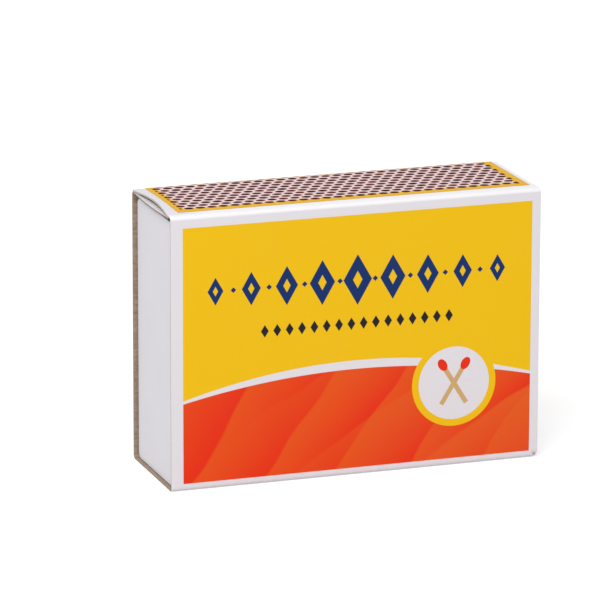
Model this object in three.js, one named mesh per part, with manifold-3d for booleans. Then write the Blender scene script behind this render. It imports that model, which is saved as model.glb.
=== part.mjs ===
// A matchbox: a folded card sleeve, a folded card tray that slides through it, and the matches.
// Millimetres, +Z up. The box stands on a narrow side, the label faces -Y, the tray slides along X.
// The origin is at the middle of the underside.
import * as THREE from 'three';
import { mergeVertices } from 'three/addons/utils/BufferGeometryUtils.js';
import Module from 'manifold-3d';

const wasm = await Module();
wasm.setup();

// Matches, all with their heads at the -X end
const MATCH_LENGTH = 60;
const SPLINT_SIDE = 2.4;
const HEAD_DIAMETER = 3.05;
const HEAD_LENGTH = 5;
const MATCHES_PER_LAYER = 14;
const LAYERS = 6;
const LOOSE_LAYERS = 4;
const HEAD_GAP_ACROSS = 0.12;
const HEAD_GAP_BETWEEN_LAYERS = 0.13;
const PACKED_HEAD_OVERLAP = 0.1;
const PACKED_LAYER_CLOSENESS = 0.955;

// How a match in the loose layers lies askew
const LOOSE_SHIFT = 0.45;
const LOOSE_TURN_DEGREES = 0.15;

// Tray, cut from one sheet of card
const TRAY_CARD = 0.4;
const TRAY_FOLD_RADIUS = 0.6;
const TRAY_TAB_WIDTH = 8;
const TRAY_TAB_DROP = 0.5;
const TRAY_CORNER_RADIUS = 1.3;
const ROOM_AT_MATCH_ENDS = 1.58;
const ROOM_BESIDE_MATCHES = 0.56;
const ROOM_ABOVE_MATCHES = 0.68;

// Sleeve, cut from one sheet of card and glued along the striking side
const SLEEVE_CARD = 0.32;
const SLEEVE_FOLD_RADIUS = 0.7;
const TRAY_RECESS = 0.62;
const CLEARANCE_DEPTH = 0.35;
const CLEARANCE_BELOW = 0.15;
const CLEARANCE_ABOVE = 0.65;
const FLAP_EDGE_FROM_FRONT = 1.6;
const OUTER_PLY_EDGE_FROM_BACK = 0.35;
const FOLD_STEPS = 4;

// The glued double side has opened at the -X mouth: its outer ply bows up and its inner flap down
const BOW_UP = 0.35;
const BOW_DOWN = 0.3;
const BOW_LENGTH = 7;
const BOW_STEPS = 6;
const BOW_COLUMNS = 10;
const GLUED_EDGE = 0.3;
const GLUED_BELOW_OPENING = 0.1;

// Striking coat on the outer ply
const COAT_THICKNESS = 0.08;
const COAT_LIFT = 0.02;
const COAT_MARGIN_LEFT = 2.2;
const COAT_MARGIN_RIGHT = 0.85;
const COAT_MARGIN_FRONT = 2.8;
const COAT_MARGIN_BACK = 0.55;

// Sizes that follow
const headPitchAcross = HEAD_DIAMETER + HEAD_GAP_ACROSS;
const layerPitch = HEAD_DIAMETER + HEAD_GAP_BETWEEN_LAYERS;
const trayInnerHeight = MATCHES_PER_LAYER * headPitchAcross + ROOM_BESIDE_MATCHES;
const trayInnerDepth = LAYERS * layerPitch + ROOM_ABOVE_MATCHES;
const trayLength = MATCH_LENGTH + 2 * ROOM_AT_MATCH_ENDS + 4 * TRAY_CARD;
const trayHeight = trayInnerHeight + 2 * TRAY_CARD;
const trayDepth = trayInnerDepth + TRAY_CARD;
const sleeveLength = trayLength + 2 * TRAY_RECESS;
const sleeveDepth = trayDepth + 2 * CLEARANCE_DEPTH + 2 * SLEEVE_CARD;
const sleeveHeight = trayHeight + CLEARANCE_BELOW + CLEARANCE_ABOVE + 3 * SLEEVE_CARD;
const halfLength = sleeveLength / 2;
const halfDepth = sleeveDepth / 2;
const flapTop = sleeveHeight - SLEEVE_CARD;
const flapEdgeY = -halfDepth + FLAP_EDGE_FROM_FRONT;
const outerPlyEdgeY = halfDepth - OUTER_PLY_EDGE_FROM_BACK;
const frontFoldY = -halfDepth + SLEEVE_FOLD_RADIUS;
const backFoldY = halfDepth - SLEEVE_FOLD_RADIUS;
const gapFrontY = flapEdgeY + GLUED_EDGE;
const gapBackY = backFoldY - GLUED_EDGE;
const trayBottomZ = SLEEVE_CARD + CLEARANCE_BELOW;
const trayMiddleZ = trayBottomZ + trayHeight / 2;
const trayBackY = halfDepth - SLEEVE_CARD - CLEARANCE_DEPTH;
const trayRimY = trayBackY - trayDepth;

const material = (name, colour, roughness) =>
  new THREE.MeshStandardMaterial({ name, color: colour, roughness, metalness: 0 });
const coatedCard = material('coated_card', 0xe6e4e8, 0.5);
const rawCard = material('tray_card', 0xdedce0, 0.6);
const strikingCoat = material('striking_coat', 0x5a2626, 0.9);
const wood = material('match_wood', 0xe3c796, 0.8);

const group = new THREE.Group();

// A closed geometry as a solid that can be joined and cut
function solid(geometry) {
  const bare = geometry.index ? geometry.toNonIndexed() : geometry.clone();
  bare.deleteAttribute('normal');
  bare.deleteAttribute('uv');
  const merged = mergeVertices(bare, 1e-5);
  return new wasm.Manifold(new wasm.Mesh({
    numProp: 3,
    vertProperties: new Float32Array(merged.attributes.position.array),
    triVerts: new Uint32Array(merged.index.array),
  }));
}

function geometryOf(body) {
  const mesh = body.getMesh();
  const geometry = new THREE.BufferGeometry();
  geometry.setAttribute('position', new THREE.BufferAttribute(new Float32Array(mesh.vertProperties), 3));
  geometry.setIndex(new THREE.BufferAttribute(new Uint32Array(mesh.triVerts), 1));
  return geometry;
}

function addMesh(name, geometry, look) {
  const mesh = new THREE.Mesh(geometry, look);
  mesh.name = name;
  group.add(mesh);
  return mesh;
}

// Points of a round fold: a quarter circle about (y, z), counter-clockwise from an angle in degrees
function foldArc(y, z, radius, fromDegrees) {
  return Array.from({ length: FOLD_STEPS + 1 }, (unused, step) => {
    const angle = THREE.MathUtils.degToRad(fromDegrees + (90 * step) / FOLD_STEPS);
    return [y + radius * Math.cos(angle), z + radius * Math.sin(angle)];
  });
}

// A solid through rings of points, one ring at each station along X, all with as many points.
// The rings run counter-clockwise seen from +X.
function loftSolid(stations, ringAt) {
  const positions = [];
  const rings = stations.map((x) => ringAt(x).map(([y, z]) => [x, y, z]));
  const push = (...corners) => positions.push(...corners.flat());
  for (let station = 0; station + 1 < rings.length; station += 1) {
    const here = rings[station];
    const next = rings[station + 1];
    here.forEach((point, i) => {
      const j = (i + 1) % here.length;
      push(point, next[j], next[i]);
      push(point, here[j], next[j]);
    });
  }
  const capTriangles = (ring) => {
    const contour = ring.map(([, y, z]) => new THREE.Vector2(y, z));
    return THREE.ShapeUtils.triangulateShape(contour, []);
  };
  const first = rings[0];
  const last = rings[rings.length - 1];
  capTriangles(first).forEach(([a, b, c]) => push(first[a], first[c], first[b]));
  capTriangles(last).forEach(([a, b, c]) => push(last[a], last[b], last[c]));
  const geometry = new THREE.BufferGeometry();
  geometry.setAttribute('position', new THREE.Float32BufferAttribute(positions, 3));
  return solid(geometry);
}

// How far the glued side has opened, 0 to 1: full at the -X mouth and closed BOW_LENGTH further in
function opening(x) {
  const inward = Math.min(Math.max((x + halfLength) / BOW_LENGTH, 0), 1);
  return (1 - inward) ** 2;
}

// How far it has opened across the box, 0 at both glued edges and 1 between them
function bulge(y) {
  const across = (y - gapFrontY) / (gapBackY - gapFrontY);
  return Math.sin(Math.PI * Math.min(Math.max(across, 0), 1));
}

const bowUp = (x, y) => BOW_UP * opening(x) * bulge(y);
const bowDown = (x, y) => BOW_DOWN * opening(x) * bulge(y);

const spread = (from, to, steps) =>
  Array.from({ length: steps + 1 }, (unused, i) => from + ((to - from) * i) / steps);
const sorted = (values) =>
  [...values].sort((a, b) => a - b).filter((value, i, all) => i === 0 || value - all[i - 1] > 0.01);
const between = (values, low, high) => values.filter((value) => value >= low - 1e-6 && value <= high + 1e-6);

// Where the glued side is sampled: everything on it shares these stations along X and columns across
const coatLeftX = -halfLength + COAT_MARGIN_LEFT;
const coatRightX = halfLength - COAT_MARGIN_RIGHT;
const coatBackY = halfDepth - COAT_MARGIN_BACK;
const coatFrontY = -halfDepth + COAT_MARGIN_FRONT;
const bowEndX = -halfLength + BOW_LENGTH;
const stations = sorted([
  -halfLength, coatLeftX, ...spread(-halfLength, bowEndX, BOW_STEPS), coatRightX, halfLength,
]);
const columns = sorted([
  frontFoldY, flapEdgeY, coatFrontY, ...spread(gapFrontY, gapBackY, BOW_COLUMNS), backFoldY, coatBackY,
  outerPlyEdgeY,
]);

// Outside of the sleeve. The back folds over one card lower and runs on as the glue flap.
function sleeveOutside(x) {
  const radius = SLEEVE_FOLD_RADIUS;
  return [
    ...foldArc(frontFoldY, radius, radius, 180),
    ...foldArc(backFoldY, radius, radius, 270),
    ...foldArc(backFoldY, flapTop - radius, radius, 0),
    [outerPlyEdgeY, flapTop],
    ...[...columns].reverse().map((y) => [y, sleeveHeight + bowUp(x, y)]),
    ...foldArc(frontFoldY, sleeveHeight - radius, radius, 90).slice(1),
  ];
}

// Inside of the sleeve. The glue flap ends short of the front.
function sleeveInside(x) {
  const radius = SLEEVE_FOLD_RADIUS - SLEEVE_CARD;
  return [
    ...foldArc(frontFoldY, SLEEVE_FOLD_RADIUS, radius, 180),
    ...foldArc(backFoldY, SLEEVE_FOLD_RADIUS, radius, 270),
    ...foldArc(backFoldY, flapTop - SLEEVE_FOLD_RADIUS, radius, 0).slice(0, -1),
    ...between(columns, flapEdgeY, backFoldY)
      .reverse()
      .map((y) => [y, flapTop - SLEEVE_CARD - bowDown(x, y)]),
    [flapEdgeY, flapTop],
    ...foldArc(frontFoldY, sleeveHeight - SLEEVE_FOLD_RADIUS, radius, 90),
  ];
}

// The gap between the outer ply and the glue flap
function glueGap(x) {
  const inner = between(columns, gapFrontY, gapBackY).slice(1, -1);
  return [
    [gapFrontY, flapTop],
    ...inner.map((y) => [y, flapTop - bowDown(x, y)]),
    [gapBackY, flapTop],
    ...inner.reverse().map((y) => [y, flapTop + bowUp(x, y)]),
  ];
}

function buildSleeve() {
  const beyond = SLEEVE_CARD;
  const openStations = stations.filter((x) => opening(x) > GLUED_BELOW_OPENING);
  return loftSolid(stations, sleeveOutside)
    .subtract(loftSolid([-halfLength - beyond, ...stations, halfLength + beyond], sleeveInside))
    .subtract(loftSolid([-halfLength - beyond, ...openStations], glueGap));
}

// A thin coat that follows the outer ply
function buildStrikingCoat() {
  const across = between(columns, coatFrontY, coatBackY);
  const coatRing = (x) => [
    ...across.map((y) => [y, sleeveHeight + bowUp(x, y) + COAT_LIFT]),
    ...[...across].reverse().map((y) => [y, sleeveHeight + bowUp(x, y) + COAT_LIFT + COAT_THICKNESS]),
  ];
  return loftSolid(between(stations, coatLeftX, coatRightX), coatRing);
}

const block = (sizeX, sizeY, sizeZ, x, y, z) =>
  solid(new THREE.BoxGeometry(sizeX, sizeY, sizeZ).translate(x, y, z));

// A channel section: a base with an upright at each side, rounded at the folds, in its own plane.
// The base lies at 0 and the uprights reach to -height.
function channelShape(width, height) {
  const outer = TRAY_FOLD_RADIUS;
  const inner = TRAY_FOLD_RADIUS - TRAY_CARD;
  const half = width / 2;
  const shape = new THREE.Shape();
  shape.moveTo(-half, -height);
  shape.lineTo(-half, -outer);
  shape.absarc(-half + outer, -outer, outer, Math.PI, Math.PI / 2, true);
  shape.lineTo(half - outer, 0);
  shape.absarc(half - outer, -outer, outer, Math.PI / 2, 0, true);
  shape.lineTo(half, -height);
  shape.lineTo(half - TRAY_CARD, -height);
  shape.lineTo(half - TRAY_CARD, -outer);
  shape.absarc(half - outer, -outer, inner, 0, Math.PI / 2, false);
  shape.lineTo(-half + outer, -TRAY_CARD);
  shape.absarc(-half + outer, -outer, inner, Math.PI / 2, Math.PI, false);
  shape.lineTo(-half + TRAY_CARD, -height);
  return shape;
}

// Outline of an end wall seen along X: rounded at the fold and at the free corners by the rim
function endWallShape() {
  const half = trayHeight / 2;
  const fold = TRAY_FOLD_RADIUS;
  const corner = TRAY_CORNER_RADIUS;
  const shape = new THREE.Shape();
  shape.moveTo(-half, -trayDepth + corner);
  shape.lineTo(-half, -fold);
  shape.absarc(-half + fold, -fold, fold, Math.PI, Math.PI / 2, true);
  shape.lineTo(half - fold, 0);
  shape.absarc(half - fold, -fold, fold, Math.PI / 2, 0, true);
  shape.lineTo(half, -trayDepth + corner);
  shape.absarc(half - corner, -trayDepth + corner, corner, 0, -Math.PI / 2, true);
  shape.lineTo(-half + corner, -trayDepth);
  shape.absarc(-half + corner, -trayDepth + corner, corner, -Math.PI / 2, -Math.PI, true);
  return shape;
}

// Extrudes a section, centred, so that its width runs along Z and its length along X
function alongX(shape, length) {
  const geometry = new THREE.ExtrudeGeometry(shape, { depth: length, bevelEnabled: false, curveSegments: FOLD_STEPS });
  geometry.translate(0, 0, -length / 2);
  geometry.rotateY(Math.PI / 2);
  return geometry.translate(0, trayBackY, trayMiddleZ);
}

// The same with its width along X and its length along Z
function alongZ(shape, length) {
  const geometry = new THREE.ExtrudeGeometry(shape, { depth: length, bevelEnabled: false, curveSegments: FOLD_STEPS });
  return geometry.translate(0, trayBackY, trayMiddleZ - length / 2);
}

// Base and end walls are one strip, folded up at the ends. The side walls fold up between them and
// turn in at the corners as tabs, glued behind the end walls.
function buildTray() {
  const endStrip = solid(alongZ(channelShape(trayLength, trayDepth), trayHeight));
  const outline = solid(alongX(endWallShape(), trayLength));
  const sideStrip = solid(alongX(channelShape(trayHeight, trayDepth), trayLength - 2 * TRAY_CARD));
  let tray = endStrip.intersect(outline).add(sideStrip);
  const tabHeight = trayInnerDepth - TRAY_TAB_DROP;
  const tabY = trayBackY - TRAY_CARD - tabHeight / 2;
  const intoWall = TRAY_CARD / 2;
  for (const end of [-1, 1]) {
    for (const side of [-1, 1]) {
      const x = end * (trayLength / 2 - (3 * TRAY_CARD) / 2 + intoWall / 2);
      const z = trayMiddleZ + side * ((trayInnerHeight - TRAY_TAB_WIDTH + intoWall) / 2);
      const tab = block(TRAY_CARD + intoWall, tabHeight + intoWall, TRAY_TAB_WIDTH + intoWall, x, tabY, z);
      tray = tray.add(tab);
    }
  }
  return tray;
}

// One match along X, centred on its length, head at -X. Its rings have eight points, so that the
// head is an octagon and the splint a square with a point midway along each side.
function matchSolid(headStretchDeep, headStretchAcross) {
  const eighths = Array.from({ length: 8 }, (unused, i) => (Math.PI / 4) * i + Math.PI / 8);
  const headRing = (share) => eighths.map((angle) => [
    (share * HEAD_DIAMETER * headStretchDeep * Math.cos(angle)) / 2,
    (share * HEAD_DIAMETER * headStretchAcross * Math.sin(angle)) / 2,
  ]);
  const side = SPLINT_SIDE / 2;
  const splintRing = [
    [side, side], [0, side], [-side, side], [-side, 0], [-side, -side], [0, -side], [side, -side], [side, 0],
  ];
  const tip = -MATCH_LENGTH / 2;
  const rings = new Map([
    [tip, headRing(0.55)],
    [tip + 0.25 * HEAD_LENGTH, headRing(1)],
    [tip + 0.6 * HEAD_LENGTH, headRing(1)],
    [tip + HEAD_LENGTH, splintRing],
    [MATCH_LENGTH / 2, splintRing],
  ]);
  return loftSolid([...rings.keys()], (x) => rings.get(x));
}

const matchZ = (place) => trayMiddleZ + (place - (MATCHES_PER_LAYER - 1) / 2) * headPitchAcross;
const layerY = (layer) => trayRimY + ROOM_ABOVE_MATCHES + (layer - 0.5) * layerPitch;

// The same uneven values between -1 and 1 each time
const uneven = (seed) => Math.sin(seed * 12.9898 + Math.sin(seed * 4.1414) * 3);

addMesh('sleeve', geometryOf(buildSleeve()), coatedCard);
addMesh('striking_coat', geometryOf(buildStrikingCoat()), strikingCoat);
addMesh('tray', geometryOf(buildTray()), rawCard);

// The layers by the open face hold matches that are each a piece of their own
const looseMatch = geometryOf(matchSolid(1, 1));
const twoDigits = (number) => String(number).padStart(2, '0');
for (let layer = 1; layer <= LOOSE_LAYERS; layer += 1) {
  for (let place = 0; place < MATCHES_PER_LAYER; place += 1) {
    const number = (layer - 1) * MATCHES_PER_LAYER + place + 1;
    const match = addMesh(`match_${twoDigits(number)}`, looseMatch, wood);
    match.position.set(LOOSE_SHIFT * uneven(number), layerY(layer), matchZ(place));
    match.rotation.y = THREE.MathUtils.degToRad(LOOSE_TURN_DEGREES * uneven(number + 50));
  }
}

// In the layers below them the heads press together, so all of those matches are one piece
const headFlatWidth = HEAD_DIAMETER * Math.cos(Math.PI / 8);
const packedPitch = layerPitch * PACKED_LAYER_CLOSENESS;
const packedMatch = matchSolid(
  (packedPitch + PACKED_HEAD_OVERLAP) / headFlatWidth,
  (headPitchAcross + PACKED_HEAD_OVERLAP) / headFlatWidth,
);
const packedMiddleY = layerY((LOOSE_LAYERS + 1 + LAYERS) / 2);
let packed = null;
for (let layer = LOOSE_LAYERS + 1; layer <= LAYERS; layer += 1) {
  const y = packedMiddleY + (layerY(layer) - packedMiddleY) * PACKED_LAYER_CLOSENESS;
  for (let place = 0; place < MATCHES_PER_LAYER; place += 1) {
    const match = packedMatch.translate([0, y, matchZ(place)]);
    packed = packed ? packed.add(match) : match;
  }
}
addMesh('matches_below', geometryOf(packed), wood);

export default group;
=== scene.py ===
import math

import bmesh
import bpy
from mathutils import Matrix, Vector, noise


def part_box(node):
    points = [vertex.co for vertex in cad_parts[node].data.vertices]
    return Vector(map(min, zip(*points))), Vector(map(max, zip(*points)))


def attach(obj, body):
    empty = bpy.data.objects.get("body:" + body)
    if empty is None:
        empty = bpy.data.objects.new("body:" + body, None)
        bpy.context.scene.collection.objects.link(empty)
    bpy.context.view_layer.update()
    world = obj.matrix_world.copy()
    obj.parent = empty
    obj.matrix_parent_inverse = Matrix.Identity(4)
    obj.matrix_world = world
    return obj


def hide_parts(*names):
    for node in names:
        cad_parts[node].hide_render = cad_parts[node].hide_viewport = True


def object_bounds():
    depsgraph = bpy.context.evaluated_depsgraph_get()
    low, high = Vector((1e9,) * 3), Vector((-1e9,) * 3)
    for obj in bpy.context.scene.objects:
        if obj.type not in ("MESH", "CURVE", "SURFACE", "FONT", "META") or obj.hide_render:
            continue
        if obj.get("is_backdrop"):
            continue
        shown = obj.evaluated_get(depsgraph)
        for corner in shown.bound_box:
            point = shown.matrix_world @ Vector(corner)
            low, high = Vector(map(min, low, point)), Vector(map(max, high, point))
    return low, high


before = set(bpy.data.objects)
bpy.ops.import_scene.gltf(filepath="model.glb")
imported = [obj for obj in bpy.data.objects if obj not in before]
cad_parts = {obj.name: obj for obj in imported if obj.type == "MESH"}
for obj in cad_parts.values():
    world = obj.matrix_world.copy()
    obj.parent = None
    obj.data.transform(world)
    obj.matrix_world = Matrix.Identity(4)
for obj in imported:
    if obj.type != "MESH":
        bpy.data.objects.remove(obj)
cad_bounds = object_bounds()


# The camera stands in front of the box, to its left and a little above it, as in the photograph.
# It is far off with a long lens, so that the box's upright edges stay nearly parallel.
CAMERA_PLACE = Vector((-0.27185, -0.76208, 0.24153))
CAMERA_TURN = math.radians(19.195)
CAMERA_DROP = math.radians(14.788)
CAMERA_ROLL = math.radians(0.162)
CAMERA_LENS = 294.4

camera_data = bpy.data.cameras.new("camera")
camera_data.lens = CAMERA_LENS
camera_data.sensor_width = 36
camera_data.clip_start = 0.01
camera = bpy.data.objects.new("camera", camera_data)
camera.matrix_world = (
    Matrix.Translation(CAMERA_PLACE)
    @ Matrix.Rotation(-CAMERA_TURN, 4, "Z")
    @ Matrix.Rotation(math.pi / 2 - CAMERA_DROP, 4, "X")
    @ Matrix.Rotation(CAMERA_ROLL, 4, "Z")
)
bpy.context.scene.collection.objects.link(camera)
bpy.context.scene.camera = camera
bpy.context.scene.view_settings.view_transform = "Standard"


# The light is that of a product table: a broad soft box above, in front and to the left, a weak one
# low in front, and a pale room all round. The camera sees the room as plain white.
ROOM_STRENGTH = 0.6
HIGH_POWER = 3.9
HIGH_PLACE = (-0.36, -0.4, 0.68)
FRONT_POWER = 0.6
FRONT_PLACE = (-0.35, -0.9, 0.45)
SOFT_BOX_SIZE = (0.6, 0.5)
LIGHT_AIM = Vector((0, 0, 0.02))
PLAIN_WHITE = (1, 1, 1, 1)


class Socket:
    """An output of a node. Sums, masks and further nodes are built on it."""

    def __init__(self, tree, link=None):
        self.tree = tree
        self.link = link

    def add(self, kind, settings=None, inputs=None, output=0):
        """Adds a node, makes its settings, feeds its inputs and gives back one of its outputs."""
        node = self.tree.nodes.new(kind)
        for name, setting in (settings or {}).items():
            setattr(node, name, setting)
        for place, value in (inputs or {}).items():
            if isinstance(value, Socket):
                self.tree.links.new(value.link, node.inputs[place])
            else:
                node.inputs[place].default_value = value
        return Socket(self.tree, node.outputs[output] if len(node.outputs) else None)

    def sum(self, operation, first, second=0.0, clamp=False):
        settings = {"operation": operation, "use_clamp": clamp}
        return self.add("ShaderNodeMath", settings, {0: first, 1: second})

    def __add__(self, other):
        return self.sum("ADD", self, other)

    def __radd__(self, other):
        return self.sum("ADD", other, self)

    def __sub__(self, other):
        return self.sum("SUBTRACT", self, other)

    def __rsub__(self, other):
        return self.sum("SUBTRACT", other, self)

    def __mul__(self, other):
        return self.sum("MULTIPLY", self, other)

    def __rmul__(self, other):
        return self.sum("MULTIPLY", other, self)

    def __truediv__(self, other):
        return self.sum("DIVIDE", self, other)

    def __abs__(self):
        return self.sum("ABSOLUTE", self)

    def __mod__(self, other):
        return self.sum("FLOORED_MODULO", self, other)

    def most(self, other):
        return self.sum("MAXIMUM", self, other)

    def root(self):
        return self.sum("SQRT", self)

    def whole(self):
        return self.sum("FLOOR", self)

    def clamp(self):
        return self.sum("ADD", self, 0.0, clamp=True)

    def rising(self, start, slope):
        """A mask that is 0 up to a start, and rises from there to 1 by a slope."""
        return ((self - start) * slope).clamp()

    def split(self):
        """The X, Y and Z of a place."""
        first = self.add("ShaderNodeSeparateXYZ", {}, {0: self})
        return [Socket(self.tree, link) for link in first.link.node.outputs]

    def mix(self, without, within):
        """One colour where this mask is 0 and another where it is 1."""
        colours = {
            place: value if isinstance(value, Socket) else (*value, 1)
            for place, value in ((6, without), (7, within))
        }
        return self.add("ShaderNodeMix", {"data_type": "RGBA"}, {0: self, **colours}, 2)

    def noise(self, scale, detail=2.0, rough=0.5, stretch=(1, 1, 1)):
        """Cloudy noise from 0 to 1, with this socket as its place."""
        placed = self.add("ShaderNodeMapping", {}, {0: self, 3: stretch})
        inputs = {"Vector": placed, "Scale": scale, "Detail": detail, "Roughness": rough}
        return self.add("ShaderNodeTexNoise", {}, inputs)


def linear(red, green, blue):
    """A colour as a screen shows it, 0 to 255, as the light values that a shader takes."""
    shares = (channel / 255 for channel in (red, green, blue))
    return tuple(
        share / 12.92 if share <= 0.04045 else ((share + 0.055) / 1.055) ** 2.4
        for share in shares
    )


def soft_box(name, place, power):
    """A square lamp with a broad soft face, turned to the box."""
    lamp = bpy.data.lights.new(name, "AREA")
    lamp.shape = "RECTANGLE"
    lamp.size, lamp.size_y = SOFT_BOX_SIZE
    lamp.energy = power
    lamp_object = bpy.data.objects.new(name, lamp)
    turn = (LIGHT_AIM - Vector(place)).to_track_quat("-Z", "Y").to_matrix().to_4x4()
    lamp_object.matrix_world = Matrix.Translation(place) @ turn
    bpy.context.scene.collection.objects.link(lamp_object)


soft_box("high_soft_box", HIGH_PLACE, HIGH_POWER)
soft_box("front_soft_box", FRONT_PLACE, FRONT_POWER)


def ray_seen_plain(tree):
    """1 for the rays that show the background itself: the camera's, and those in gloss and glass."""
    start = Socket(tree)
    camera_ray, glossy_ray, glass_ray = (
        start.add("ShaderNodeLightPath", output=name)
        for name in ("Is Camera Ray", "Is Glossy Ray", "Is Transmission Ray")
    )
    return camera_ray.most(glossy_ray).most(glass_ray)


world = bpy.data.worlds.new("pale_room")
world.use_nodes = True
world.node_tree.nodes.clear()
plain = ray_seen_plain(world.node_tree)
room_light = plain.add("ShaderNodeBackground", {}, {"Color": PLAIN_WHITE, "Strength": ROOM_STRENGTH})
room_white = plain.add("ShaderNodeBackground", {}, {"Color": PLAIN_WHITE, "Strength": 1.0})
room = plain.add("ShaderNodeMixShader", {}, {0: plain, 1: room_light, 2: room_white})
room.add("ShaderNodeOutputWorld", {}, {0: room})
bpy.context.scene.world = world


# The floor is a wide sheet of matt white paper. It takes the box's soft shadow, and shows as plain
# white beyond it. It lies a hair below the box, so that the two don't share one plane.
FLOOR_REACH = 3.0
FLOOR_GAP = 0.00003
FLOOR_WHITE = (0.8, 0.8, 0.8, 1)
FLOOR_GLOW_NEAR = 0.42
FLOOR_GLOW_FAR = 0.7
GLOW_GROWS_FROM = 0.12
GLOW_GROWS_OVER = 0.35

floor_mesh = bmesh.new()
bmesh.ops.create_grid(floor_mesh, x_segments=1, y_segments=1, size=FLOOR_REACH)
bmesh.ops.translate(floor_mesh, verts=floor_mesh.verts[:], vec=(0, 0, -FLOOR_GAP))
floor_data = bpy.data.meshes.new("floor")
floor_mesh.to_mesh(floor_data)
floor_mesh.free()
floor = bpy.data.objects.new("floor", floor_data)
bpy.context.scene.collection.objects.link(floor)
floor_paper = bpy.data.materials.new("floor_paper")
floor_paper.use_nodes = True
floor_paper.node_tree.nodes.clear()
plain = ray_seen_plain(floor_paper.node_tree)
floor_matt = plain.add("ShaderNodeBsdfDiffuse", {}, {"Color": FLOOR_WHITE})
floor_place = plain.add("ShaderNodeTexCoord", output="Object")
distance = floor_place.add("ShaderNodeVectorMath", {"operation": "LENGTH"}, {0: floor_place}, "Value")
far = ((distance - GLOW_GROWS_FROM) / GLOW_GROWS_OVER).clamp()
glow = plain * (FLOOR_GLOW_NEAR + far * (FLOOR_GLOW_FAR - FLOOR_GLOW_NEAR))
floor_glow = plain.add("ShaderNodeEmission", {}, {"Color": PLAIN_WHITE, "Strength": glow})
floor_look = plain.add("ShaderNodeAddShader", {}, {0: floor_matt, 1: floor_glow})
floor_look.add("ShaderNodeOutputMaterial", {}, {0: floor_look})
floor_data.materials.append(floor_paper)
floor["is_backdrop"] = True


# The sleeve is one sheet of card: white-coated and printed outside, raw grey-brown board inside.
# It is folded round the tray and glued along the striking side, where its outer ply lies on an
# inner flap. The glue has let go at the left mouth, so the two plies bow apart there.
SLEEVE_CARD = 0.00032
SLEEVE_FOLD = 0.0007
FOLD_SEGMENTS = 6
CARD_ROUNDING = 0.00004
FLAP_EDGE_FROM_FRONT = 0.0016
OUTER_PLY_EDGE_FROM_BACK = 0.00035
GLUED_EDGE = 0.0003
BOW_UP = 0.00035
BOW_DOWN = 0.0003
BOW_LENGTH = 0.007
PLY_SET_BACK = 0.0007
PANEL_WAVE = 0.00005
WAVES_PER_METRE = 45
WAVE_GROWS = 8
WORN_CORNER = 0.0014
WORN_REACH = 0.0016
WORN_FRONT = 0.001
SAME_PLACE = 1e-6
SAME_FACE = 0.0003
NEARLY_SQUARE = 0.99
MILLIMETRES = 1000.0

sleeve_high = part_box("sleeve")[1]
half_length = sleeve_high.x
half_depth = sleeve_high.y
side_height = sleeve_high.z - BOW_UP
wall_y = half_depth - SLEEVE_CARD / 2
outer_ply_z = side_height - SLEEVE_CARD / 2
flap_z = outer_ply_z - SLEEVE_CARD
flap_edge_y = -half_depth + FLAP_EDGE_FROM_FRONT
gap_front_y = flap_edge_y + GLUED_EDGE
gap_back_y = half_depth - SLEEVE_FOLD - GLUED_EDGE


def cut_across(mesh, axis, places):
    """Cuts a mesh by planes square to one axis, so that it can bend there."""
    for place in places:
        point = Vector((0, 0, 0))
        point[axis] = place
        normal = Vector((0, 0, 0))
        normal[axis] = 1
        parts = mesh.verts[:] + mesh.edges[:] + mesh.faces[:]
        bmesh.ops.bisect_plane(mesh, geom=parts, plane_co=point, plane_no=normal, dist=1e-7)


def pull_out(mesh, edges, way):
    """Extrudes edges of a sheet of card by one vector and gives back the new edges."""
    made = bmesh.ops.extrude_edge_only(mesh, edges=edges)["geom"]
    points = [part for part in made if isinstance(part, bmesh.types.BMVert)]
    bmesh.ops.translate(mesh, verts=points, vec=way)
    return [part for part in made if isinstance(part, bmesh.types.BMEdge)]


def fold(mesh, edges, radius, card):
    """Rounds the fold lines of a sheet of card. The radius is that of the outside."""
    bmesh.ops.bevel(
        mesh, geom=edges, offset=radius - card / 2, segments=FOLD_SEGMENTS, profile=0.5,
        affect="EDGES", material=-1,
    )


def folded_sheet(section, half, radius, card):
    """A sheet of card with one section all along the box, and with its fold lines rounded."""
    mesh = bmesh.new()
    points = [mesh.verts.new((-half, y, z)) for y, z in section]
    lines = [mesh.edges.new(pair) for pair in zip(points, points[1:])]
    pull_out(mesh, lines, (2 * half, 0, 0))
    fold(mesh, [edge for edge in mesh.edges if len(edge.link_faces) == 2], radius, card)
    return mesh


def face_outwards(mesh, way):
    """Turns a folded sheet so that its outermost faces, seen from one side, face that way."""
    bmesh.ops.recalc_face_normals(mesh, faces=mesh.faces[:])
    square = [face for face in mesh.faces if abs(face.normal.dot(way)) > NEARLY_SQUARE]
    reach = max(face.calc_center_median().dot(way) for face in square)
    outer = [face for face in square if face.calc_center_median().dot(way) > reach - SAME_FACE]
    if sum(face.calc_area() * face.normal.dot(way) for face in outer) < 0:
        bmesh.ops.reverse_faces(mesh, faces=mesh.faces[:])


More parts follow.
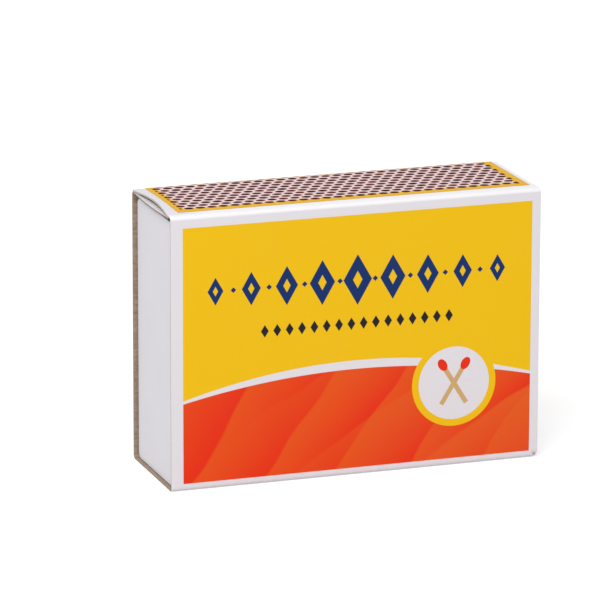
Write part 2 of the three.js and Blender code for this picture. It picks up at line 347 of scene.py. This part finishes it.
def finished_piece(name, mesh, materials, body, nodes, thickness=0.0, rounding=0.0):
    """Makes a mesh a piece of the box, with its thickness and softened edges in the mesh itself."""
    data = bpy.data.meshes.new(name)
    mesh.to_mesh(data)
    mesh.free()
    data.shade_smooth()
    draft = bpy.data.objects.new(name + "_draft", data)
    bpy.context.scene.collection.objects.link(draft)
    for material in materials:
        data.materials.append(material)
    if thickness:
        wall = draft.modifiers.new("thickness", "SOLIDIFY")
        wall.thickness = thickness
        wall.offset = 0
        wall.use_even_offset = True
        wall.material_offset = 1
        wall.material_offset_rim = 2
    if rounding:
        softening = draft.modifiers.new("softening", "BEVEL")
        softening.width = rounding
        softening.segments = 2
        softening.limit_method = "ANGLE"
        softening.angle_limit = math.radians(50)
    shading = draft.modifiers.new("shading", "WEIGHTED_NORMAL")
    shading.weight = 50
    built = bpy.data.meshes.new_from_object(draft.evaluated_get(bpy.context.evaluated_depsgraph_get()))
    bpy.data.objects.remove(draft)
    piece = bpy.data.objects.new(name, built)
    bpy.context.scene.collection.objects.link(piece)
    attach(piece, body)
    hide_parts(*nodes)
    return piece


def new_material(name, roughness, gloss):
    """A Principled material, with its Object coordinates in millimetres and a way to link its inputs."""
    material = bpy.data.materials.new(name)
    material.use_nodes = True
    tree = material.node_tree
    shader = tree.nodes["Principled BSDF"]
    shader.inputs["Roughness"].default_value = roughness
    shader.inputs["Specular IOR Level"].default_value = gloss
    metres = Socket(tree).add("ShaderNodeTexCoord", output="Object")
    scaled = {0: metres, "Scale": MILLIMETRES}
    place = metres.add("ShaderNodeVectorMath", {"operation": "SCALE"}, scaled)

    def feed(**sockets):
        for name, socket in sockets.items():
            tree.links.new(socket.link, shader.inputs[name.replace("_", " ")])

    return material, place, feed


def bump(height, strength, distance):
    """A normal from a height between 0 and 1, with its depth in metres."""
    return height.add("ShaderNodeBump", {}, {"Strength": strength, "Distance": distance, "Height": height})


CARD_WHITE = linear(226, 223, 228)
PAINTED_TOP_HIGHLIGHT = linear(241, 239, 242)
CARD_SHADE = linear(150, 146, 150)
RUBBED_CARD = linear(138, 118, 112)
BOARD_DARK = linear(140, 119, 102)
BOARD_PALE = linear(182, 163, 146)
BOARD_SPECK = linear(104, 84, 70)
EDGE_DARK = linear(138, 118, 102)
EDGE_PALE = linear(176, 158, 142)
PAINTED_EDGE_HIGHLIGHT = linear(226, 222, 226)
YELLOW_INK = linear(240, 191, 8)
ORANGE_INK = linear(231, 86, 20)
PALE_ORANGE_INK = linear(228, 96, 28)
RED_INK = linear(230, 44, 10)
NAVY_INK = linear(6, 44, 102)
BLACK_INK = linear(24, 24, 34)
STICK_INK = linear(206, 168, 112)

# The print, in millimetres
INK_SOFTNESS = 0.09
PRINT_LEFT = -30.9
PRINT_RIGHT = 31.45
PRINT_BELOW = 1.25
PRINT_ABOVE = 45.45
PRINT_DEPTH = 0.3
ARCH_TOP = 19.4
ARCH_FALL = 0.0042
LINE_HALF_WIDTH = 0.75
LINE_THINNING = 0.00052
STROKE_START = 0.04
PALER_FROM = -26
PALER_OVER = 60
LOZENGES_Z = 34.2
LOZENGES_EACH_WAY = 4
LOZENGE_PITCH = 6.3
LOZENGE_HALF_HEIGHT = 4.4
LOZENGE_SHRINKS = 0.5
LOZENGE_WIDTH_SHARE = 0.58
HOLE_WIDTH_SHARE = 0.19
HOLE_HEIGHT_SHARE = 0.34
LINKING_DOT = 0.5
BEADS_Z = 26.6
BEADS_REACH = 17.6
BEAD_PITCH = 2.2
BEAD_HALF_WIDTH = 0.7
BEAD_HALF_HEIGHT = 1.1
ROUNDEL_X = 17.5
ROUNDEL_Z = 14.6
ROUNDEL_RIM = 7.6
ROUNDEL_WHITE = 6.4
STICK_LEAN = math.radians(32)
STICK_HALF_WIDTH = 0.42
STICK_HALF_LENGTH = 4.3
STICK_HEAD_ALONG = 3.9
STICK_HEAD_HALF_WIDTH = 0.78
STICK_HEAD_HALF_LENGTH = 1.15

# Where painted highlight lightens the bare card and its cut edges, and where the card is rubbed, in
# millimetres
TOP_HIGHLIGHT_DEPTH = 0.75
TOP_HIGHLIGHT_OVER = 0.4
TOP_HIGHLIGHT_FROM = -30
TOP_HIGHLIGHT_ALONG = 4
TOP_HIGHLIGHT_AT_FOLD = 1.6
RUBBED_REACH = 1.6
RUBBED_DEPTH = 0.9
EDGE_HIGHLIGHT_DEPTH = 0.12
EDGE_HIGHLIGHT_OVER = 0.1
EDGE_HIGHLIGHT_ABOVE_FLAP = 0.2


def under(value, limit=0.0):
    """A mask that is 1 where a length is under a limit, with the soft edge of printed ink."""
    return ((limit - value) / INK_SOFTNESS + 0.5).clamp()


def length(across, up):
    """The straight length to a point, from how far it lies across and up."""
    return (across * across + up * up).root()


def lozenge(x, z, middle_x, middle_z, half_width, half_height):
    """How far a point lies outside a lozenge, in millimetres across."""
    across = abs(x - middle_x) / half_width + abs(z - middle_z) / half_height
    return (across - 1) * half_width


def strokes(x, z, across, up, shift):
    """Parallel strokes, so many to the millimetre: each starts crisp, then fades slowly."""
    share = (x * across - z * up + shift) % 1.0
    return (share / STROKE_START).clamp() * (1 - share)


def label_print(x, y, z):
    """Masks of the front face, the printed field, the arch's height and the white line along it."""
    face_y = -half_depth * MILLIMETRES + PRINT_DEPTH
    front = under(y, face_y)
    back = under(0 - y, face_y)
    beside = under(PRINT_LEFT - x) * under(x - PRINT_RIGHT)
    field = beside * under(PRINT_BELOW - z) * under(z - PRINT_ABOVE) * front.most(back)
    x_squared = x * x
    arch = ARCH_TOP - x_squared * ARCH_FALL
    line = under(abs(z - arch) - (LINE_HALF_WIDTH - x_squared * LINE_THINNING))
    return front, field, arch, line


def red_field(place, x, z):
    """The red field, with broad orange strokes across it that fade into the red."""
    sway = place.noise(0.05, 1.0, 0.4)
    orange = strokes(x, z, across=0.072, up=0.05, shift=sway * 0.6)
    pale_orange = strokes(x, z, across=0.041, up=0.066, shift=sway * 0.5 + 0.3)
    to_right = ((x - PALER_FROM) / PALER_OVER).clamp()
    red = (orange * 0.85).mix(RED_INK, ORANGE_INK)
    return (pale_orange * to_right * 0.9).mix(red, PALE_ORANGE_INK)


def lozenge_row(ground, front, x, z):
    """A row of navy lozenges, largest in the middle, with a dot between each two."""
    for step in range(-LOZENGES_EACH_WAY, LOZENGES_EACH_WAY + 1):
        tall = LOZENGE_HALF_HEIGHT - LOZENGE_SHRINKS * abs(step)
        middle = step * LOZENGE_PITCH
        outer = lozenge(x, z, middle, LOZENGES_Z, tall * LOZENGE_WIDTH_SHARE, tall)
        hole = lozenge(x, z, middle, LOZENGES_Z, tall * HOLE_WIDTH_SHARE, tall * HOLE_HEIGHT_SHARE)
        ground = (front * under(outer) * (1 - under(hole))).mix(ground, NAVY_INK)
    between = x % LOZENGE_PITCH - LOZENGE_PITCH / 2
    dots = under(lozenge(between, z, 0.0, LOZENGES_Z, LINKING_DOT, LINKING_DOT))
    dots = dots * under(abs(x), LOZENGES_EACH_WAY * LOZENGE_PITCH)
    return (front * dots).mix(ground, NAVY_INK)


def bead_row(ground, front, x, z):
    """A row of small black lozenges."""
    bead_x = x % BEAD_PITCH - BEAD_PITCH / 2
    beads = under(lozenge(bead_x, z, 0.0, BEADS_Z, BEAD_HALF_WIDTH, BEAD_HALF_HEIGHT))
    return (front * beads * under(abs(x), BEADS_REACH)).mix(ground, BLACK_INK)


def roundel(ground, front, x, z):
    """A white roundel with a yellow rim and two plain crossed matches, right of the middle."""
    from_x = x - ROUNDEL_X
    from_z = z - ROUNDEL_Z
    radius = length(from_x, from_z)
    ground = (front * under(radius, ROUNDEL_RIM)).mix(ground, YELLOW_INK)
    ground = (front * under(radius, ROUNDEL_WHITE)).mix(ground, CARD_WHITE)
    for tilt in (-STICK_LEAN, STICK_LEAN):
        along = from_x * math.sin(tilt) + from_z * math.cos(tilt)
        aside = from_x * math.cos(tilt) - from_z * math.sin(tilt)
        stick = under(abs(aside), STICK_HALF_WIDTH) * under(abs(along), STICK_HALF_LENGTH)
        ground = (front * stick).mix(ground, STICK_INK)
        head_x = aside / STICK_HEAD_HALF_WIDTH
        head_z = (along - STICK_HEAD_ALONG) / STICK_HEAD_HALF_LENGTH
        ground = (front * under(length(head_x, head_z), 1.0)).mix(ground, RED_INK)
    return ground


def unprinted_card_and_highlight(x, y, z):
    """The white of the unprinted card, with a painted highlight on the striking side, left out at its
    bowed mouth except along the front fold.
    """
    # Painted highlight: the top side and the front fold are lightened where the light from above falls on
    # them.
    on_side = ((z - side_height * MILLIMETRES + TOP_HIGHLIGHT_DEPTH) / TOP_HIGHLIGHT_OVER).clamp()
    past_mouth = ((x - TOP_HIGHLIGHT_FROM) / TOP_HIGHLIGHT_ALONG).clamp()
    at_fold = under(y, -half_depth * MILLIMETRES + TOP_HIGHLIGHT_AT_FOLD)
    return (on_side * past_mouth.most(at_fold)).mix(CARD_WHITE, PAINTED_TOP_HIGHLIGHT)


def rubbed_corner(place, x, y, z):
    """A mask of the specks of rubbed card at the worn lower right front corner."""
    near = (RUBBED_REACH - length(half_length * MILLIMETRES - x, z)).clamp()
    specks = place.noise(2.4, 2.0, 0.6).rising(0.48, 9.0)
    return near * specks * under(y, -half_depth * MILLIMETRES + RUBBED_DEPTH)


def printed_card_material():
    """The outside of the sleeve: printed white coating, faintly mottled."""
    material, place, feed = new_material("printed_card", 0.42, 0.16)
    x, y, z = place.split()
    front, field, arch, line = label_print(x, y, z)
    ground = under(arch - z).mix(red_field(place, x, z), YELLOW_INK)
    ground = lozenge_row(ground, front, x, z)
    ground = bead_row(ground, front, x, z)
    ground = line.mix(ground, CARD_WHITE)
    ground = roundel(ground, front, x, z)
    mottle = place.noise(2.2, 3.0, 0.6)
    cloud = place.noise(0.09, 2.0, 0.5)
    shade = ((mottle + cloud - 1) * 0.05).clamp()
    # The bare card carries a painted highlight on its striking side and along its front fold.
    base = field.mix(unprinted_card_and_highlight(x, y, z), ground)
    base = shade.mix(base, CARD_SHADE)
    base = rubbed_corner(place, x, y, z).mix(base, RUBBED_CARD)
    feed(
        Base_Color=base,
        Roughness=0.36 + mottle * 0.12 + (1 - field) * 0.05,
        Normal=bump(place.noise(1.3, 3.0, 0.6), 0.35, 0.00003),
    )
    return material


def raw_board_material():
    """Uncoated recycled board: grey-brown, with darker and paler fibres and specks."""
    material, place, feed = new_material("raw_board", 0.85, 0.1)
    fibres = place.noise(1.6, 4.0, 0.65, stretch=(0.5, 1, 1.8))
    specks = place.noise(5.0, 2.0, 0.5).rising(0.62, 9.0)
    base = fibres.rising(0.32, 2.4).mix(BOARD_DARK, BOARD_PALE)
    base = (specks * 0.5).mix(base, BOARD_SPECK)
    feed(Base_Color=base, Normal=bump(fibres, 0.6, 0.00006))
    return material


def cut_edge_material():
    """The cut edge of the board: brown layers, with a painted highlight along the front and, half as
    strong, on the outer ply's edge at the left mouth.
    """
    material, place, feed = new_material("cut_edge", 0.85, 0.1)
    x, y, z = place.split()
    layers = place.noise(3.0, 3.0, 0.6)
    base = layers.rising(0.35, 3.0).mix(EDGE_DARK, EDGE_PALE)
    front_y = -half_depth * MILLIMETRES + EDGE_HIGHLIGHT_DEPTH
    on_front = ((front_y - y) / EDGE_HIGHLIGHT_OVER + layers).clamp()
    on_left_outer_ply = under(flap_z * MILLIMETRES + EDGE_HIGHLIGHT_ABOVE_FLAP - z) * under(x)
    # Painted highlight: the front edges and the left outer ply's edge are lightened where the light
    # catches them.
    base = on_front.most(on_left_outer_ply * 0.5).mix(base, PAINTED_EDGE_HIGHLIGHT)
    feed(Base_Color=base, Normal=bump(layers, 0.5, 0.00005))
    return material


printed_card = printed_card_material()
raw_board = raw_board_material()
cut_edge = cut_edge_material()


def held(value):
    """A value held between 0 and 1."""
    return min(max(value, 0), 1)


def opened(x):
    """How far the glue has let go along the box, from 1 at the left mouth to 0."""
    return (1 - held((x + half_length) / BOW_LENGTH)) ** 2


def bulge(y):
    """How far the plies bow apart across the box, 0 where they still hold and 1 between."""
    return math.sin(math.pi * held((y - gap_front_y) / (gap_back_y - gap_front_y)))


def corner_worn_back(place):
    """How far the lower right front corner is worn back from square, as an arc seen from the front."""
    below = WORN_CORNER - min(max(place.z, 0), WORN_CORNER)
    near = held((place.x - half_length) / WORN_REACH + 1)
    in_front = held((WORN_FRONT + SLEEVE_FOLD - half_depth - place.y) / WORN_FRONT)
    return (WORN_CORNER - math.sqrt(WORN_CORNER ** 2 - below ** 2)) * near * in_front


sleeve_section = [
    (half_depth - OUTER_PLY_EDGE_FROM_BACK, outer_ply_z),
    (-wall_y, outer_ply_z),
    (-wall_y, SLEEVE_CARD / 2),
    (wall_y, SLEEVE_CARD / 2),
    (wall_y, flap_z),
    (flap_edge_y, flap_z),
]
sleeve_sheet = folded_sheet(sleeve_section, half_length, SLEEVE_FOLD, SLEEVE_CARD)

# Cuts for the bow at the left, the worn corner at the right, and the slight waves between
near_ends = [0.0002, 0.0004, 0.0006, 0.0009, 0.0013]
along_mouth = [BOW_LENGTH * share / 8 for share in range(1, 9)]
cut_across(sleeve_sheet, 0, [-half_length + reach for reach in along_mouth])
cut_across(sleeve_sheet, 0, [half_length - reach for reach in near_ends])
cut_across(sleeve_sheet, 0, [half_length * share for share in (-0.4, -0.2, 0, 0.2, 0.4, 0.6, 0.8)])
cut_across(sleeve_sheet, 1, [gap_front_y + (gap_back_y - gap_front_y) * share / 12 for share in range(13)])
cut_across(sleeve_sheet, 2, [SLEEVE_FOLD + reach for reach in near_ends])
cut_across(sleeve_sheet, 2, [side_height * share / 8 for share in range(1, 8)])

for point in sleeve_sheet.verts:
    place = point.co.copy()
    apart = opened(place.x) * bulge(place.y)
    if place.z > outer_ply_z - SAME_PLACE:
        point.co.z += BOW_UP * apart
        point.co.x += PLY_SET_BACK * opened(place.x) * apart
    elif place.z > flap_z - SAME_PLACE and abs(place.y) < half_depth - SLEEVE_FOLD:
        point.co.z -= BOW_DOWN * apart
    if abs(place.y) > wall_y - SAME_PLACE:
        inset = min(place.z, side_height - place.z) / side_height
        wave = noise.noise(place * WAVES_PER_METRE) * PANEL_WAVE
        point.co.y += wave * min(inset * WAVE_GROWS, 1)
    point.co.x -= corner_worn_back(place)

face_outwards(sleeve_sheet, (0, -1, 0))
finished_piece(
    "sleeve_card", sleeve_sheet, (printed_card, raw_board, cut_edge), "sleeve",
    ("sleeve",), thickness=SLEEVE_CARD, rounding=CARD_ROUNDING,
)


# The striking coat is rolled onto the outer ply as rows of small dark dots, each row set half a
# step aside from the last. A printed yellow frame runs round it. All sizes are in millimetres.
DOT_PITCH = 2.03
DOT_ROWS = 11
DOT_HALF_LENGTH = 0.8
DOT_HALF_DEPTH = 0.66
DOT_RAGGEDNESS = 0.5
DOT_SOFTNESS = 0.22
DOTS_SHIFT = 1.48
ROWS_SHIFT = 1.1
DOTS_FROM_LEFT = 0.85
DOTS_FROM_RIGHT = 1.45
FRAME_AT_LEFT = 1.6
FRAME_AT_RIGHT = 1.95
FRAME_AT_FRONT = 1.9
FRAME_AT_BACK = 0.4
FRAME_SHORT_OF_RIGHT = 0.25
FRAME_INK = linear(227, 174, 8)
THICK_COAT = linear(48, 0, 4)
THIN_COAT = linear(102, 42, 40)
STRIKER_GROUND = linear(234, 207, 205)

coat_low, coat_high = (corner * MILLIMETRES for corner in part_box("striking_coat"))


def striking_coat_material():
    """Raised dots of dark red compound on a pale ground, with the printed frame round them."""
    material, place, feed = new_material("striking_dots", 0.9, 0.1)
    x, y = place.split()[:2]
    from_left = x - coat_low.x
    from_right = coat_high.x - x
    from_front = y - coat_low.y
    from_back = coat_high.y - y

    row_pitch = (coat_high.y - coat_low.y) / DOT_ROWS
    rows = (from_back + ROWS_SHIFT) / row_pitch
    row = rows.whole()
    steps = (from_left - DOTS_SHIFT) / DOT_PITCH + (row % 2.0) * 0.5
    across = (steps % 1.0 - 0.5) * (DOT_PITCH / DOT_HALF_LENGTH)
    deep = (rows % 1.0 - 0.5) * (row_pitch / DOT_HALF_DEPTH)
    from_middle = length(across, deep) + (place.noise(1.7, 3.0, 0.6) - 0.5) * DOT_RAGGEDNESS
    dots = ((1.0 - from_middle) / DOT_SOFTNESS + 0.5).clamp()
    dots = dots * under(DOTS_FROM_LEFT - from_left) * under(DOTS_FROM_RIGHT - from_right)
    dots = dots * under(row, DOT_ROWS - 0.5)

    framed = under(from_left, FRAME_AT_LEFT).most(under(from_right, FRAME_AT_RIGHT))
    framed = framed.most(under(from_front, FRAME_AT_FRONT)).most(under(from_back, FRAME_AT_BACK))
    past_frame = under(from_right, FRAME_SHORT_OF_RIGHT)
    ground = framed.mix(STRIKER_GROUND, FRAME_INK)
    ground = past_frame.mix(ground, CARD_WHITE)
    coat = place.noise(0.6, 2.0, 0.6).rising(0.42, 6.0).mix(THICK_COAT, THIN_COAT)
    feed(
        Base_Color=dots.mix(ground, coat),
        Roughness=0.5 + dots * 0.42,
        Normal=bump(dots * (0.7 + place.noise(9.0, 2.0, 0.6) * 0.6), 0.7, 0.00005),
    )
    return material


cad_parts["striking_coat"].data.materials.clear()
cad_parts["striking_coat"].data.materials.append(striking_coat_material())


# The tray is one sheet of the same card with its white side out. Base and ends fold from one
# strip. The side walls fold up between the ends and turn in as tabs, glued behind them.
TRAY_CARD = 0.0004
TRAY_FOLD = 0.0006
TAB_WIDTH = 0.008
TAB_TAPER = 0.001
TAB_RELIEF = 0.0012
END_CORNER = 0.0013
END_WALL_WIDENS = ((0.0001, 0.00038), (0.0005, 0.0001), (0.0009, 0.0))
TRAY_WHITE = linear(225, 223, 228)
TRAY_SHADE = linear(150, 146, 148)

tray_low, tray_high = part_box("tray")
base_y = tray_high.y - TRAY_CARD / 2
rim_y = tray_low.y
side_end = tray_high.x - TRAY_CARD * 1.5
fold_radius = TRAY_FOLD - TRAY_CARD / 2
middle_z = (tray_low.z + tray_high.z) / 2
half_height = (tray_high.z - tray_low.z) / 2
side_wall = half_height - TRAY_CARD / 2


def tray_material():
    """The tray's white coating: plain, a little greyer than the sleeve's."""
    material, place, feed = new_material("tray_coating", 0.5, 0.16)
    mottle = place.noise(1.8, 3.0, 0.6)
    cloud = place.noise(0.12, 2.0, 0.5)
    base = (mottle * 0.08 + cloud * 0.1 - 0.06).clamp().mix(TRAY_WHITE, TRAY_SHADE)
    feed(Base_Color=base, Roughness=0.45 + mottle * 0.15, Normal=bump(mottle, 0.3, 0.00003))
    return material


def open_edges(mesh, chosen):
    """The free edges of a sheet whose two ends both pass a test."""
    free = [edge for edge in mesh.edges if edge.is_boundary]
    return [edge for edge in free if all(chosen(vertex.co) for vertex in edge.verts)]


# The base with its two side walls, folded along the long edges
tray_section = [
    (rim_y, middle_z - side_wall),
    (base_y, middle_z - side_wall),
    (base_y, middle_z + side_wall),
    (rim_y, middle_z + side_wall),
]
tray_sheet = folded_sheet(tray_section, side_end, TRAY_FOLD, TRAY_CARD)

# Each end wall turns up from the base in a rounded fold, then widens to cover the side walls' edges
wall_rows = [(base_y - fold_radius - up, half_height - short) for up, short in END_WALL_WIDENS]
for end in (-1, 1):
    lines = open_edges(
        tray_sheet,
        lambda co: co.x * end > side_end - SAME_PLACE and co.y > base_y - SAME_PLACE,
    )
    turned = bmesh.ops.spin(
        tray_sheet, geom=lines, cent=(end * side_end, base_y - fold_radius, 0), axis=(0, 0, -end),
        dvec=(0, 0, 0), angle=math.pi / 2, steps=FOLD_SEGMENTS, use_merge=False,
    )["geom_last"]
    lines = [part for part in turned if isinstance(part, bmesh.types.BMEdge)]
    for row_y, half_width in [*wall_rows, (rim_y, half_height)]:
        lines = pull_out(tray_sheet, lines, (0, 0, 0))
        for vertex in {vertex for line in lines for vertex in line.verts}:
            vertex.co.y = row_y
            vertex.co.z = middle_z + math.copysign(half_width, vertex.co.z - middle_z)
    wall_x = end * (side_end + fold_radius)
    corners = [
        vertex for vertex in tray_sheet.verts
        if abs(vertex.co.x - wall_x) < SAME_PLACE and vertex.co.y < rim_y + SAME_PLACE
    ]
    bmesh.ops.bevel(
        tray_sheet, geom=corners, offset=END_CORNER, segments=6, profile=0.5,
        affect="VERTICES", material=-1,
    )

# The side walls' own ends turn inwards behind them as glued tabs
cut_across(tray_sheet, 1, [base_y - TAB_RELIEF])
for end in (-1, 1):
    for side in (-1, 1):
        lines = open_edges(
            tray_sheet,
            lambda co: abs(co.x - end * side_end) < SAME_PLACE
            and co.y < base_y - TAB_RELIEF + SAME_PLACE
            and abs(co.z - middle_z - side * side_wall) < SAME_PLACE,
        )
        free = pull_out(tray_sheet, lines, (0, 0, -side * TAB_WIDTH))
        for vertex in {vertex for edge in free for vertex in edge.verts}:
            vertex.co.y -= math.copysign(TAB_TAPER, vertex.co.y)
        fold(tray_sheet, lines, TRAY_FOLD, TRAY_CARD)

face_outwards(tray_sheet, (0, 1, 0))
finished_piece(
    "tray_card", tray_sheet, (tray_material(), raw_board, cut_edge), "tray",
    ("tray",), thickness=TRAY_CARD, rounding=CARD_ROUNDING,
)


# Each match is a square splint of pale wood with a head of striking compound, dipped on at the
# left end. The deepest two layers are one piece, because their heads press together.
SPLINT_SIDE = 0.0024
SPLINT_WORN_EDGE = 0.0001
SPLINT_IN_HEAD = 0.0018
SPLINT_SQUARENESS = 16
MATCH_LENGTH = 0.06
HEAD_LENGTH = 0.005
HEAD_RADIUS = 0.0015
HEAD_WIDEST = 0.42
HEAD_SQUARENESS = 3.6
HEAD_OVER_SPLINT = 0.00004
HEAD_RAGGEDNESS = 0.03
HEAD_DRIP = 0.12
LOOSE_TURN = math.radians(0.15)
LOOSE_SEED = 50
BELOW_SEED = 60
BELOW_ACROSS = 14
BELOW_LAYERS = 2
WOOD_DARK = linear(214, 180, 128)
WOOD_PALE = linear(240, 216, 170)
WOOD_STREAK = linear(222, 184, 130)
HEAD_DARK = linear(112, 26, 24)
HEAD_PALE = linear(158, 48, 38)


def wood_material():
    """Pale poplar with its grain along the splint."""
    material, place, feed = new_material("match_wood", 0.7, 0.2)
    grain = place.noise(2.4, 4.0, 0.6, stretch=(0.06, 1, 1))
    streak = place.noise(0.5, 2.0, 0.5, stretch=(0.12, 1, 1))
    base = grain.rising(0.3, 2.2).mix(WOOD_DARK, WOOD_PALE)
    base = streak.rising(0.5, 1.4).mix(base, WOOD_STREAK)
    feed(Base_Color=base, Normal=bump(grain, 0.5, 0.00008))
    return material


def head_material():
    """Dull red striking compound with a gritty skin."""
    material, place, feed = new_material("match_head", 0.6, 0.25)
    grit = place.noise(3.5, 4.0, 0.6)
    base = grit.rising(0.3, 2.0).mix(HEAD_DARK, HEAD_PALE)
    feed(Base_Color=base, Normal=bump(grit, 0.7, 0.0001))
    return material


wood = wood_material()
head_compound = head_material()


def uneven(seed):
    """A steady number between -1 and 1 that looks like chance."""
    return math.sin(seed * 12.9898 + math.sin(seed * 4.1414) * 3)


def head_radius(share):
    """The head's half-width at a share of its length from the tip: a blunt end, then a slow taper."""
    if share < HEAD_WIDEST:
        return HEAD_RADIUS * math.sqrt(max(1 - (1 - share / HEAD_WIDEST) ** 2, 0))
    taper = (1 - math.cos(math.pi * (share - HEAD_WIDEST) / (1 - HEAD_WIDEST))) / 2
    return HEAD_RADIUS + (SPLINT_SIDE / 2 + HEAD_OVER_SPLINT - HEAD_RADIUS) * taper


def add_match(mesh, middle, turn, seed):
    """Adds one match: a splint with worn edges, and a head that covers the splint's square end."""
    before = set(mesh.verts)
    splint = bmesh.ops.create_cube(mesh, size=1.0)["verts"]
    bmesh.ops.scale(mesh, verts=splint, vec=(MATCH_LENGTH - SPLINT_IN_HEAD, SPLINT_SIDE, SPLINT_SIDE))
    bmesh.ops.translate(mesh, verts=splint, vec=(SPLINT_IN_HEAD / 2, 0, 0))
    edges = list(dict.fromkeys(edge for vertex in splint for edge in vertex.link_edges))
    bmesh.ops.bevel(
        mesh, geom=edges, offset=SPLINT_WORN_EDGE, segments=2, profile=0.5,
        affect="EDGES", material=-1,
    )
    head = bmesh.ops.create_uvsphere(mesh, u_segments=16, v_segments=12, radius=1.0)["verts"]
    bmesh.ops.rotate(mesh, verts=head, cent=(0, 0, 0), matrix=Matrix.Rotation(math.pi / 2, 3, "Y"))
    for vertex in head:
        share = (vertex.co.x + 1) / 2
        around = Vector((0, vertex.co.y, vertex.co.z))
        if around.length > 1e-4:
            around.normalize()
            square = HEAD_SQUARENESS + (SPLINT_SQUARENESS - HEAD_SQUARENESS) * share ** 2
            squared = (abs(around.y) ** square + abs(around.z) ** square) ** (-1 / square)
            ragged = HEAD_RAGGEDNESS * noise.noise(around * 2 + Vector((share * 3, seed, 0)))
            around *= head_radius(share) * squared * (1 + ragged * (1 - share))
        drip = 1 + HEAD_DRIP * noise.noise(Vector((seed * 1.7, around.y * 900, around.z * 900)))
        vertex.co = around + Vector((-MATCH_LENGTH / 2 + share * HEAD_LENGTH * drip, 0, 0))
        for face in vertex.link_faces:
            face.material_index = 1
    made = [vertex for vertex in mesh.verts if vertex not in before]
    bmesh.ops.rotate(mesh, verts=made, cent=(0, 0, 0), matrix=Matrix.Rotation(turn, 3, "Y"))
    bmesh.ops.translate(mesh, verts=made, vec=middle)


for node in sorted(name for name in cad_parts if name.startswith("match_")):
    number = int(node.split("_")[1])
    low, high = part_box(node)
    match_mesh = bmesh.new()
    add_match(match_mesh, (low + high) / 2, LOOSE_TURN * uneven(number + LOOSE_SEED), number)
    finished_piece(
        f"match_stick_{number:02}", match_mesh, (wood, head_compound), "tray",
        (node,),
    )

below_low, below_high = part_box("matches_below")
below_middle_x = (below_low.x + below_high.x) / 2
below_pitch_z = (below_high.z - below_low.z) / BELOW_ACROSS
below_pitch_y = (below_high.y - below_low.y) / BELOW_LAYERS
below_mesh = bmesh.new()
for layer in range(BELOW_LAYERS):
    for step in range(BELOW_ACROSS):
        y = below_low.y + below_pitch_y * (layer + 0.5)
        z = below_low.z + below_pitch_z * (step + 0.5)
        seed = BELOW_SEED + layer * BELOW_ACROSS + step
        add_match(below_mesh, (below_middle_x, y, z), 0.0, seed)
finished_piece(
    "match_sticks_below", below_mesh, (wood, head_compound), "tray",
    ("matches_below",),
)


visual_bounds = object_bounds()
corners = {"cad": cad_bounds, "visual": visual_bounds}
